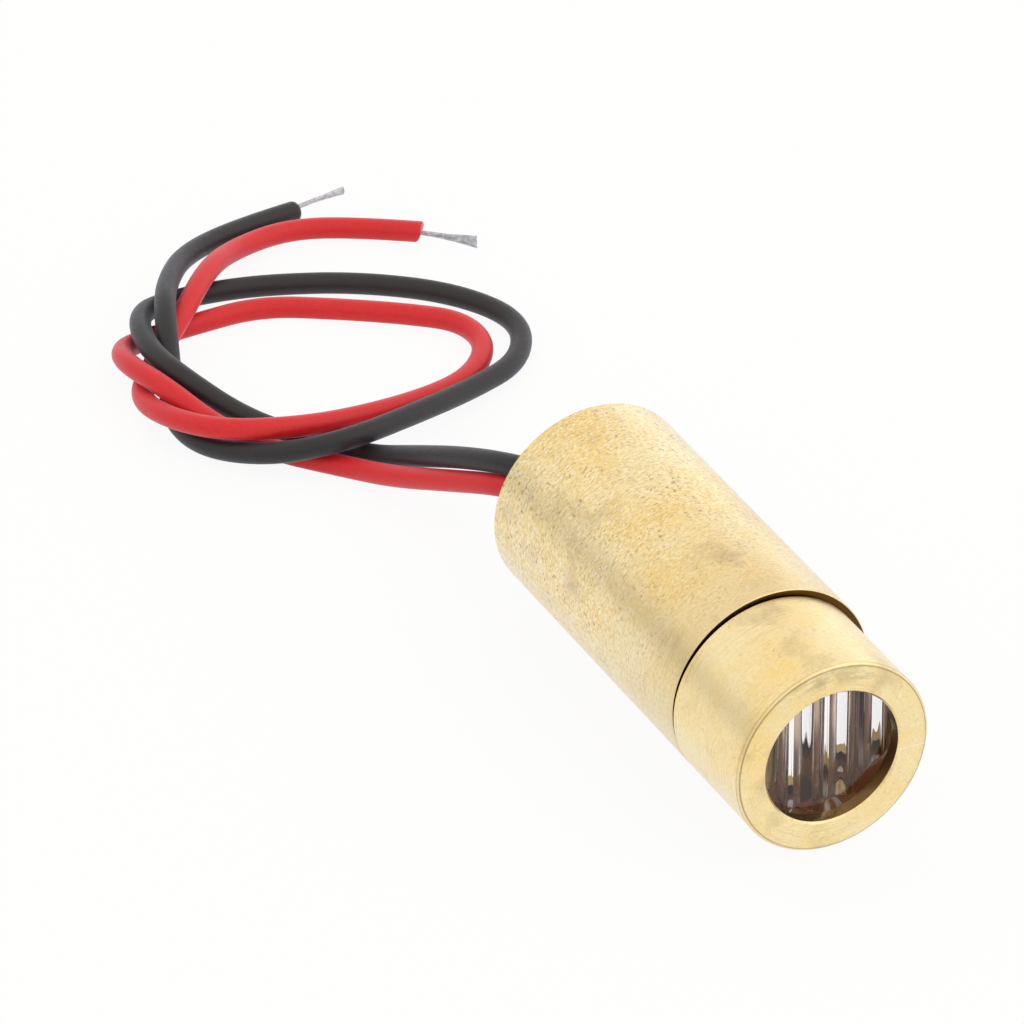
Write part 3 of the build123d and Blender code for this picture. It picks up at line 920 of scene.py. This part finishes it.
@dataclass
class LineLens:
    """Clear disc with a flat front and an even wave of ribs up all of its rear."""

    rib_pitch: float = 1.6 * MM
    rib_height: float = 0.97 * MM
    air_film: float = 0.01 * MM
    columns: int = 640
    sharp_degrees: float = 25.0
    node: str = "line_lens"

    def rise(self, offset: float) -> float:
        """Give the wave's height at a distance across from the lens's axis, where it has a valley."""
        return self.rib_height / 2 * (1 - math.cos(2 * math.pi * offset / self.rib_pitch))

    def build(self) -> bpy.types.Object:
        """Model the lens in place of its CAD solid and dress it.

        Returns:
            The lens.
        """
        extent = Extent.of(self.node)
        outer = extent.radius
        valley = extent.rear + self.air_film + self.rib_height
        shape = bmesh.new()
        angles = [math.pi * (i + 0.5) / self.columns for i in range(self.columns)]
        circle = angles + [math.pi + angle for angle in angles]

        def corner(x: float, angle: float) -> bmesh.types.BMVert:
            """Add a corner at a place along the axis, on the lens's edge."""
            return shape.verts.new((x, extent.axis_y - outer * math.cos(angle),
                                    extent.axis_z + outer * math.sin(angle)))

        ribs = [corner(valley - self.rise(outer * math.cos(a)), a) for a in circle]
        front = [corner(extent.front - self.air_film, a) for a in circle]
        count = len(circle)
        for k in range(count):
            after = (k + 1) % count
            shape.faces.new((ribs[k], ribs[after], front[after], front[k]))
        for k in range(self.columns - 1):
            shape.faces.new((ribs[k], ribs[k + 1], ribs[count - 2 - k], ribs[count - 1 - k]))
        shape.faces.new(front)
        mesh = finish_mesh("ribbed_line_lens", shape, self.sharp_degrees)
        # Moulded acrylic: colourless, with white streaks where its ribs throw the light back
        finish = Clear("clear_acrylic", "#FFFFFF", 1.49, glued_edge=extent)
        return new_piece("ribbed_line_lens", mesh, finish.make(), "lens_acrylic", self.node)


@dataclass
class CollimatingLens:
    """Clear turned lens, strongly curved in front and slightly behind, in a flat rim."""

    front_sag: float = 0.9 * MM
    rear_sag: float = 0.25 * MM
    front_edge: float = 2.75 * MM
    rear_edge: float = 2.35 * MM
    air_film: float = 0.01 * MM
    steps: int = 24
    node: str = "collimating_lens"

    def dome(self, edge: float, sag: float) -> list[tuple[float, float]]:
        """Give a round dome.

        Args:
            edge: The radius of its edge.
            sag: Its height.

        Returns:
            Depths below its top and distances from the axis, from the axis to its edge.
        """
        radius = (edge ** 2 + sag ** 2) / (2 * sag)
        reaches = [edge * i / self.steps for i in range(self.steps + 1)]
        return [(radius - math.sqrt(radius ** 2 - reach ** 2), reach) for reach in reaches]

    def build(self) -> bpy.types.Object:
        """Model the lens in place of its CAD solid, clear of its rings by a film of air, and dress it.

        Returns:
            The lens.
        """
        extent = Extent.of(self.node)
        top, bottom = extent.front - self.air_film, extent.rear + self.air_film
        front = [(top - depth, reach) for depth, reach in self.dome(self.front_edge, self.front_sag)]
        rear = [(bottom + depth, reach) for depth, reach in self.dome(self.rear_edge, self.rear_sag)]
        rim = [(top - self.front_sag, extent.radius), (bottom + self.rear_sag, extent.radius)]
        mesh = lathe("collimating_lens", front + rim + rear[::-1], extent)
        # Moulded lens with a coat that throws light back: a blurred mirror with a warm tint
        finish = Clear("coated_collimator", "#FFDDBE", 1.5, roughness=0.45, mirror=0.9)
        return new_piece("clear_collimating_lens", mesh, finish.make(), "lens_acrylic", self.node)


@dataclass(frozen=True)
class Tip:
    """The end of a lead's insulation: its middle, and the ways onward, level across it and upwards."""

    middle: Vector
    way: Vector
    side: Vector
    up: Vector

    @classmethod
    def of(cls, points: Sequence[Vector]) -> "Tip":
        """Take the end of a lead's middle line.

        Args:
            points: The line.

        Returns:
            Its end.
        """
        way = (points[-1] - points[-2]).normalized()
        side = way.cross(Vector((0, 0, 1))).normalized()
        return cls(points[-1].copy(), way, side, side.cross(way).normalized())


@dataclass
class Lead:
    """One insulated lead with its bared, tinned strands.

    Attributes:
        route: The points that it bends round.
        end: How its insulation was cut.
        slot: The record's material slot of its insulation.
        tail_root: Where the bared tail leaves the insulation, from its middle: level across, then upwards.
        tail_fan: Where each strand of the tail ends.
        bundle_radius: Distance of the strands from the bundle's middle, where they leave the insulation.
        buried: Length of the strands inside the insulation.
        bow: How far the tail arches upwards.
        cut_from: Share of the diameter, from the top, that a slanting cut leaves whole.
        spread_power: How late the strands fan out: 1 is evenly.
        sides: Faces round the insulation.
        steps: Points per stretch of the route.
        rim_steps: Rings in the rounding of the rim.
    """

    name: str
    route: list[Place]
    end: End
    slot: str
    tail_root: tuple[float, float]
    tail_fan: list[tuple[float, float]]
    tail_length: float
    diameter: float = 0.95 * MM
    strand_diameter: float = 0.11 * MM
    inner_tail_length: float = 1.5 * MM
    bundle_radius: float = 0.05 * MM
    buried: float = 0.3 * MM
    bow: float = 0.0
    cut_from: float = 0.3
    spread_power: float = 1.6
    sides: int = 28
    steps: int = 12
    rim_steps: int = 6
    strand_sides: int = 12
    strand_steps: int = 20

    def build(self, insulation: bpy.types.Material, tinned: bpy.types.Material) -> None:
        """Args:
            insulation: The finish of the insulation.
            tinned: The finish of the strands.
        """
        points = spline_points(self.route, self.steps)
        tip = Tip.of(points)
        radii = self.round_rim(points, tip)
        shape = bmesh.new()
        rings = tube(shape, points, radii, self.sides)
        self.slant(rings[-self.rim_steps - 1:], tip)
        mesh = finish_mesh(f"{self.name}_insulation", shape)
        cord = new_piece(f"{self.name}_insulation", mesh, insulation, self.slot, f"{self.name}_lead")
        strands = self.strands(tip, tinned)

    def round_rim(self, points: list[Vector], tip: Tip) -> list[float]:
        """Put the steps of the rounded rim in place of the middle line's last points.

        Args:
            points: The middle line, which is changed.
            tip: The end of the insulation.

        Returns:
            The radius at each point.
        """
        radius = self.diameter / 2
        rounding = self.end.rounding
        while (tip.middle - points[-1]).dot(tip.way) < rounding + self.end.cut_back:
            points.pop()
        radii = [radius] * len(points)
        for k in range(self.rim_steps):
            turn = math.pi / 2 * k / (self.rim_steps - 1)
            points.append(tip.middle - tip.way * (rounding * (1 - math.sin(turn))))
            radii.append(radius - rounding * (1 - math.cos(turn)))
        return radii

    def slant(self, rings: Sequence[Sequence[bmesh.types.BMVert]], tip: Tip) -> None:
        """Cut the underside of the insulation's end back.

        Args:
            rings: The rings of the rim and the middle of the end.
            tip: The end of the insulation.
        """
        for ring in rings:
            for corner in ring:
                depth = (1 - (corner.co - tip.middle).dot(tip.up) / (self.diameter / 2)) / 2
                share = max(0.0, depth - self.cut_from) / (1 - self.cut_from)
                corner.co -= tip.way * (self.end.cut_back * share ** 2)

    def strands(self, tip: Tip, tinned: bpy.types.Material) -> bpy.types.Object:
        """Model the tinned strands at the lead's two ends.

        Args:
            tip: The end of the insulation.
            tinned: The strands' finish.

        Returns:
            The strands, as one piece.
        """
        shape = bmesh.new()
        inner = Vector(self.route[0])
        inward = (inner - Vector(self.route[1])).normalized()
        lines = [self.tail_strand(k, tip) for k in range(len(self.tail_fan))]
        for k in range(len(self.tail_fan)):
            level, height = self.bundle_place(k)
            start = inner + Vector((0, level, height))
            lines.append([start, start + inward * self.inner_tail_length])
        for line in lines:
            tube(shape, line, [self.strand_diameter / 2] * len(line), self.strand_sides)
        mesh = finish_mesh(f"{self.name}_strands", shape)
        return new_piece(f"{self.name}_strands", mesh, tinned, "tinned_copper", f"{self.name}_conductor")

    def bundle_place(self, k: int) -> tuple[float, float]:
        """Give a strand's place in the bundle: level across it, then upwards."""
        turn = 2 * math.pi * k / len(self.tail_fan)
        return self.bundle_radius * math.cos(turn), self.bundle_radius * math.sin(turn)

    def tail_strand(self, k: int, tip: Tip) -> list[Vector]:
        """Lead one strand of the tail from inside the insulation to its place in the fan.

        Args:
            k: The strand's number.
            tip: The end of the insulation.

        Returns:
            The strand's middle line.
        """
        level, height = self.bundle_place(k)
        end_level, end_height = self.tail_fan[k]
        root = tip.middle + tip.side * self.tail_root[0] + tip.up * self.tail_root[1]
        start = tip.side * level + tip.up * height
        finish = tip.side * end_level + tip.up * end_height
        line = []
        for i in range(self.strand_steps + 1):
            share = i / self.strand_steps
            arch = tip.up * (4 * self.bow * share * (1 - share))
            spread = start.lerp(finish, share ** self.spread_power) + arch
            line.append(root + tip.way * ((self.tail_length + self.buried) * share - self.buried) + spread)
        return line


@dataclass(frozen=True)
class PhotoCamera:
    """The photograph's viewpoint."""

    eye: Place = (0.30112, -0.16126, 0.22691)
    sight: Place = (-0.7533, 0.3807, -0.5363)
    focal_length_mm: float = 351.6
    sensor_mm: float = 36.0

    def place(self) -> None:
        """Add the camera and make it the scene's own."""
        camera = bpy.data.cameras.new("photo_camera")
        camera.lens = self.focal_length_mm
        camera.sensor_width = self.sensor_mm
        holder = bpy.data.objects.new("photo_camera", camera)
        holder.location = self.eye
        holder.rotation_euler = Vector(self.sight).to_track_quat("-Z", "Y").to_euler()
        bpy.context.scene.collection.objects.link(holder)
        bpy.context.scene.camera = holder


@dataclass(frozen=True)
class Studio:
    """White sweep and soft light all round, dimmer low on one side and brighter low on the other.

    Attributes:
        floor_glow: How much of the floor, as it is seen, is plain white and takes no shadow.
        upper_sky: The sky's colour from above.
        upper_sky_from: The height in the sky over which that colour comes in.
        upper_sky_at: The height at which it is full.
        low_height: The height of the middle of the low band.
        low_width: How far the band reaches above and below that.
        low_light: The light that the band adds at its two sides.
        low_sides: Where those sides are, across.
    """

    floor_size: float = 4.0
    floor_glow: float = 0.92
    paper: str = "#F6F6F6"
    sky_strength: float = 1.04
    level_sky: str = "#FFFFFF"
    upper_sky: str = "#FBF5EA"
    upper_sky_from: float = 0.25
    upper_sky_at: float = 0.6
    low_height: float = 0.05
    low_width: float = 0.32
    low_light: tuple[float, float] = (-0.55, 0.32)
    low_sides: tuple[float, float] = (-0.6, 0.6)
    key_place: Place = (0.25, 0.3, 0.5)
    key_watts: float = 0.5
    key_size: float = 0.6

    def build(self) -> None:
        """Add the floor, the sky and the lamp."""
        self.floor()
        self.sky()
        self.key()

    def floor(self) -> None:
        """Add a floor that looks white to the eye, in metal and through glass, and still takes a shadow."""
        half = self.floor_size / 2
        corners = [(-half, -half, 0), (half, -half, 0), (half, half, 0), (-half, half, 0)]
        mesh = bpy.data.meshes.new("floor")
        mesh.from_pydata(corners, [], [(0, 1, 2, 3)])
        floor = bpy.data.objects.new("floor", mesh)
        bpy.context.scene.collection.objects.link(floor)
        # Matt paper: plain white, with a faint soft shadow under the object
        material = new_material("white_paper_sweep")
        node = partial(add, material.node_tree)
        paper = node("ShaderNodeBsdfDiffuse", {"Color": colour(self.paper)}).outputs[0]
        white = node("ShaderNodeEmission", {"Strength": 1.0}).outputs[0]
        ray = node("ShaderNodeLightPath").outputs
        seen = ray["Is Camera Ray"]
        for kind in ("Is Glossy Ray", "Is Transmission Ray"):
            seen = node("ShaderNodeMath", {0: seen, 1: ray[kind]}, operation="MAXIMUM").outputs[0]
        share = node("ShaderNodeMath", {0: seen, 1: self.floor_glow}, operation="MULTIPLY").outputs[0]
        mixed = node("ShaderNodeMixShader", {0: share, 1: paper, 2: white}).outputs[0]
        node("ShaderNodeOutputMaterial", {"Surface": mixed})
        mesh.materials.append(material)

    def sky(self) -> None:
        """Light the scene from all round, a little warmer from above."""
        world = bpy.data.worlds.new("soft_white_studio")
        world.use_nodes = True
        world.node_tree.nodes.clear()
        node = partial(add, world.node_tree)
        way = node("ShaderNodeSeparateXYZ", {0: node("ShaderNodeTexCoord").outputs["Generated"]}).outputs
        height = node("ShaderNodeMath", {0: way["Z"], 1: self.low_height}, operation="SUBTRACT").outputs[0]
        distance = node("ShaderNodeMath", {0: height}, operation="ABSOLUTE").outputs[0]
        low = node("ShaderNodeMapRange", {"Value": distance, "From Max": self.low_width,
                                          "To Min": 1.0, "To Max": 0.0}).outputs["Result"]
        side = node("ShaderNodeMapRange", {"Value": way["Y"], "From Min": self.low_sides[0],
                                           "From Max": self.low_sides[1], "To Min": self.low_light[0],
                                           "To Max": self.low_light[1]}).outputs["Result"]
        level = node("ShaderNodeMath", {0: low, 1: side, 2: self.sky_strength},
                     operation="MULTIPLY_ADD").outputs[0]
        high = node("ShaderNodeMapRange", {"Value": way["Z"], "From Min": self.upper_sky_from,
                                           "From Max": self.upper_sky_at}).outputs["Result"]
        tint = node("ShaderNodeMix", {SHARE: high, FIRST_COLOUR: colour(self.level_sky),
                                      SECOND_COLOUR: colour(self.upper_sky)}, data_type="RGBA")
        light = node("ShaderNodeBackground", {"Color": tint.outputs[MIXED_COLOUR], "Strength": level})
        node("ShaderNodeOutputWorld", {"Surface": light.outputs["Background"]})
        bpy.context.scene.world = world

    def key(self) -> None:
        """Add one soft square lamp that faces the object."""
        light = bpy.data.lights.new("key", "AREA")
        light.energy = self.key_watts
        light.size = self.key_size
        holder = bpy.data.objects.new("key", light)
        holder.location = self.key_place
        holder.rotation_euler = (-Vector(self.key_place)).to_track_quat("-Z", "Y").to_euler()
        bpy.context.scene.collection.objects.link(holder)


def dress(node: str, finish: Brass | Clear | Grained) -> None:
    """Give a CAD node that stays in sight its finish.

    Args:
        node: The node.
        finish: Its finish.
    """
    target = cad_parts[node]
    target.data.materials.clear()
    target.data.materials.append(finish.make())
    LOG.info("%s: %s", node, finish.name)


# Tinned copper, dipped and wiped: dull silver, darker in spots
TINNED = Grained("tinned_strands", "#A5A3A9", "#D6D5DE", 1.0, (0.42, 0.55), 0.2, 0.01)
# Extruded PVC: half matt, with a pale bloom along its sides. Its grain is drawn coarser than the real one,
# which is too fine to show.
BLACK_PVC = Grained("black_pvc_insulation", "#1A181B", "#232124", 0.0, (0.45, 0.6), 0.2, 0.01, sheen=0.3)
RED_PVC = Grained("red_pvc_insulation", "#D00F18", "#DA1921", 0.0, (0.42, 0.55), 0.2, 0.01, sheen=0.3)

# Finishes of the pieces inside, each with what it gives the eye
INNER_FINISHES: dict[str, Clear | Grained] = {
    # Stamped steel with a thin gold plating: pale yellow metal, softly blurred
    "diode_header": Grained("gold_flash_header", "#D9C48A", "#E6D49E", 1.0, (0.3, 0.4), 0.25, 0.01),
    # Drawn steel, nickel plated: warm grey metal, softly blurred
    "diode_cap": Grained("nickel_can", "#C9C7C3", "#D6D4D0", 1.0, (0.28, 0.38), 0.25, 0.01),
    # Polished glass: clear, with a hint of green
    "diode_window": Clear("window_glass", "#F4F8F6", 1.52),
    # Cleaved crystal: dark grey with a sharp shine
    "laser_chip": Grained("laser_semiconductor", "#4A4A50", "#5A5A62", 0.6, (0.15, 0.25), 0.05, 0.001),
    # Polished silicon: dark blue-grey, close to a mirror
    "monitor_photodiode": Grained("silicon_chip", "#3A3C48", "#4C4E5C", 0.6, (0.1, 0.2), 0.05, 0.001),
    # Drawn wire with a thin gold plating: the header's pale yellow
    "diode_pins": Grained("gold_flash_pins", "#D9C48A", "#E6D49E", 1.0, (0.3, 0.4), 0.16, 0.005),
    # Fused glass beads: dark green with a wet shine
    "pin_seals": Grained("dark_seal_glass", "#2C3A34", "#3A4A44", 0.0, (0.08, 0.16), 0.16, 0.002),
    # Resist cured over laminate: green and half glossy
    "driver_board": Grained("green_solder_resist", "#14653A", "#1C7444", 0.0, (0.3, 0.42), 0.33, 0.01),
    # Moulded epoxy: matt and nearly black
    "driver_transistor": Grained("black_mould_compound", "#2E2E30", "#38383A", 0.0, (0.5, 0.65), 0.08, 0.01),
    # Glaze fired on ceramic: dark grey and glossy
    "resistors": Grained("black_glazed_resistor", "#4B4B4E", "#5A5A5E", 0.0, (0.2, 0.35), 0.12, 0.005),
    # Fired ceramic without a glaze: dull tan
    "capacitor": Grained("fired_tan_capacitor", "#B3976F", "#C2A67E", 0.0, (0.4, 0.55), 0.12, 0.005),
    # Reflowed solder: bright silver with a soft shine
    "pin_solder": Grained("reflowed_pin_solder", "#BDBEC0", "#D2D3D5", 1.0, (0.18, 0.3), 0.2, 0.01),
    "lead_solder": Grained("reflowed_lead_solder", "#BDBEC0", "#D2D3D5", 1.0, (0.18, 0.3), 0.2, 0.01),
    # Cast resin: black and glossy, with slow waves
    "rear_potting": Grained("black_cast_resin", "#232325", "#2C2C2E", 0.0, (0.18, 0.3), 0.8, 0.03),
    # Brass with a darker, dull warm brown tint that is painted shade, round the rear of the lens
    "lens_spacer": Grained("shade_darkened_brass_spacer", "#BE9C78", "#D2AE86", 1.0, (0.45, 0.6), 0.3, 0.01),
}
# How strong the grit, painted glints and pits are on the ring behind the lenses, at both of its ends
RETAINER_SPECKLE = (0.4, 0.4)


def main() -> None:
    """Build the camera, the leads, the body, the lenses, the finishes and the studio."""
    logging.basicConfig(level=logging.INFO)
    bpy.context.scene.view_settings.view_transform = "Standard"
    PhotoCamera().place()

    tinned = TINNED.make()
    black = Lead("black", BLACK_ROUTE, End.ROUNDED, "black_pvc", tail_root=(0.0, 0.13 * MM),
                 tail_fan=BLACK_FAN, tail_length=2.5 * MM, bow=0.09 * MM)
    red = Lead("red", RED_ROUTE, End.SLANTED, "red_pvc", tail_root=(0.0, -0.04 * MM),
               tail_fan=RED_FAN, tail_length=2.45 * MM)
    black.build(BLACK_PVC.make(), tinned)
    red.build(RED_PVC.make(), tinned)

    Barrel().build()
    Head().build()
    LineLens().build()
    CollimatingLens().build()
    retainer = Extent.of("lens_retainer")
    dress("lens_retainer", Brass("brass_retainer", retainer, retainer.rear, retainer.front, RETAINER_SPECKLE))
    for node, finish in INNER_FINISHES.items():
        dress(node, finish)
    Studio().build()


if __name__ == "__main__":
    main()
